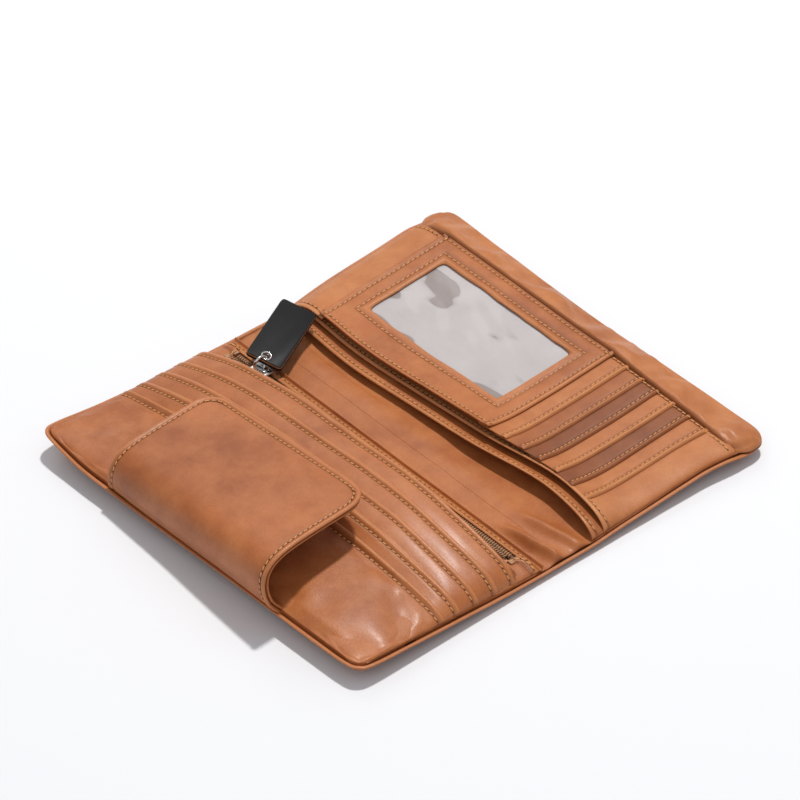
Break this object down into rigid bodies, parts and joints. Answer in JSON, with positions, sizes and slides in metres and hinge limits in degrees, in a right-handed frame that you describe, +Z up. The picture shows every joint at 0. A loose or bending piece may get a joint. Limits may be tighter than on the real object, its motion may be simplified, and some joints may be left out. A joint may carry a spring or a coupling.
{
  "type": "passport holder",
  "caption": "Leather travel wallet lying open: zipped pouch, passport pocket and stepped card slots facing a half with a clear window, joined by a folding spine, with a wrap-over closing tab",
  "frame": {"origin": "on the underside of the open wallet, in the middle of the spine", "axes": "+X along the spine, +Y from the near half with the zip and tab to the far half with the window, +Z up out of the linings"},
  "size_m": [0.2, 0.2301, 0.0309],
  "materials": {
    "cover_leather": "smooth waxed, soft sheen",
    "lining_leather": "smooth, satin",
    "panel_leather": "smooth waxed, soft sheen",
    "slot_leather_light": "smooth, satin",
    "slot_leather_red": "smooth, satin",
    "tag_leather": "black, smooth",
    "stiffener_board": "matt",
    "closing_magnet": "matt magnetic sheet",
    "zip_tape": "woven",
    "zip_coil": "satin nylon",
    "slider_metal": "polished",
    "clear_film": "clear soft vinyl"
  },
  "bodies": {
    "near_half": {"near_cover": "cover_leather", "near_board": "stiffener_board", "near_lining": "lining_leather", "pouch_welts": "lining_leather", "pouch_front": "panel_leather", "zip_tape_pouch": "zip_tape", "zip_tape_spine": "zip_tape", "zip_coil_pouch": "zip_coil", "zip_coil_spine": "zip_coil", "zip_stops": "slider_metal", "zip_facing": "lining_leather", "passport_pocket_welts": "lining_leather", "near_card_backing": "panel_leather", "near_card_slot_1": "panel_leather", "near_card_slot_2": "panel_leather", "near_card_slot_3": "panel_leather", "near_front_panel": "panel_leather", "tab_root_outer": "cover_leather", "tab_root_lining": "lining_leather"},
    "spine": {"spine_cover": "cover_leather", "spine_board": "stiffener_board", "spine_lining": "lining_leather"},
    "far_half": {"far_cover": "cover_leather", "far_board": "stiffener_board", "far_lining": "lining_leather", "cover_magnet": "closing_magnet", "slip_pocket_welts": "lining_leather", "slip_pocket_panel": "panel_leather", "note_pocket_welts": "lining_leather", "card_panel": "panel_leather", "far_card_slot_1": "slot_leather_light", "far_card_slot_2": "slot_leather_red", "far_card_slot_3": "slot_leather_light", "far_card_slot_4": "slot_leather_red", "far_card_slot_5": "slot_leather_red", "far_card_slot_6": "slot_leather_light", "window_film": "clear_film", "window_frame": "panel_leather", "end_band": "panel_leather", "edge_roll": "cover_leather"},
    "tab_wall": {"tab_wall_outer": "cover_leather", "tab_wall_lining": "lining_leather"},
    "tab_flap": {"tab_flap_outer": "cover_leather", "tab_flap_lining": "lining_leather", "tab_magnet": "closing_magnet"},
    "slider": {"zip_slider": "slider_metal"},
    "ring": {"pull_ring": "slider_metal"},
    "tag": {"pull_tag": "tag_leather"}
  },
  "joints": [
    {"name": "fold", "type": "hinge", "parent": "near_half", "child": "spine", "pos_m": [0, -0.01105, 0.003], "axis": [1, 0, 0], "range_deg": [0, 90], "deforming": ["tab_wall_outer", "tab_wall_lining", "tab_flap_outer", "tab_flap_lining", "tab_magnet", "pull_tag"]},
    {"name": "fold_far", "type": "hinge", "parent": "spine", "child": "far_half", "pos_m": [0, 0.01105, 0.003], "axis": [1, 0, 0], "range_deg": [0, 90]},
    {"name": "tab", "type": "hinge", "parent": "near_half", "child": "tab_wall", "pos_m": [0, -0.11895, 0.003], "axis": [1, 0, 0], "range_deg": [0, 90]},
    {"name": "tab_unroll", "type": "hinge", "parent": "tab_wall", "child": "tab_flap", "pos_m": [0, -0.11895, 0.0309], "axis": [1, 0, 0], "range_deg": [0, 90]},
    {"name": "zip", "type": "slide", "parent": "near_half", "child": "slider", "axis": [1, 0, 0], "range_m": [-0.0115, 0.1525]},
    {"name": "pull_lift", "type": "hinge", "parent": "slider", "child": "ring", "pos_m": [-0.0705, -0.01855, 0.0122], "axis": [1, 0, 0], "range_deg": [0, 100]},
    {"name": "tag_swing", "type": "hinge", "parent": "ring", "child": "tag", "pos_m": [-0.0705, -0.01515, 0.0122], "axis": [0, 0, 1], "range_deg": [-110, 20]}
  ],
  "couplings": [
    {"joint": "fold_far", "follows": "fold", "ratio": 1},
    {"joint": "tab_unroll", "follows": "tab", "ratio": 1}
  ]
}
